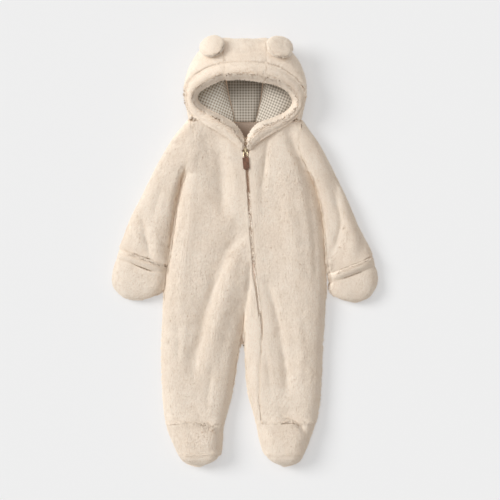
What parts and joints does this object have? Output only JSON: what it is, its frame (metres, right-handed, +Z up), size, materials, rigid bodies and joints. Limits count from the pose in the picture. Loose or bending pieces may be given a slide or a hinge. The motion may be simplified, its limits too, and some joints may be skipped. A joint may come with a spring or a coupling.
{
  "type": "fleece jumpsuit",
  "caption": "Baby's hooded fleece jumpsuit with round ears, fold-over mittens, sewn-in feet and a front zip, laid flat on its back.",
  "frame": {"origin": "middle of the bounding box, on the surface that the garment lies on", "axes": "+Y from the feet to the hood, +Z up out of the front, +X to the wearer's left"},
  "size_m": [0.4624, 0.7498, 0.0732],
  "materials": {
    "cream_fleece": "long soft cream teddy fleece",
    "check_lining": "grey-beige gingham cotton",
    "taupe_facing": "plain taupe cotton",
    "zip_tape": "woven zip tape",
    "brass": "brushed antique brass",
    "brown_leather": "matt brown leather"
  },
  "bodies": {
    "suit": {"front_right": "cream_fleece", "front_left": "cream_fleece", "back": "cream_fleece", "sleeve_right": "cream_fleece", "sleeve_left": "cream_fleece", "mitten_hem_right": "cream_fleece", "mitten_hem_left": "cream_fleece", "mitten_right": "cream_fleece", "mitten_left": "cream_fleece", "foot_upper_right": "cream_fleece", "foot_upper_left": "cream_fleece", "sole_right": "cream_fleece", "sole_left": "cream_fleece", "hood_right": "cream_fleece", "hood_centre": "cream_fleece", "hood_left": "cream_fleece", "hood_band_right": "cream_fleece", "hood_band_centre": "cream_fleece", "hood_band_left": "cream_fleece", "ear_right": "cream_fleece", "ear_left": "cream_fleece", "lining_right": "check_lining", "lining_centre": "check_lining", "lining_left": "check_lining", "neck_facing": "taupe_facing", "zip_tape_right": "zip_tape", "zip_tape_left": "zip_tape", "zip_slider": "brass"},
    "pull": {"pull_bail": "brass", "pull_tab": "brown_leather"}
  },
  "joints": [
    {"name": "pull_swing", "type": "hinge", "parent": "suit", "child": "pull", "pos_m": [0.0017, 0.1738, 0.0375], "axis": [-1, 0, 0], "range_deg": [0, 110]}
  ]
}
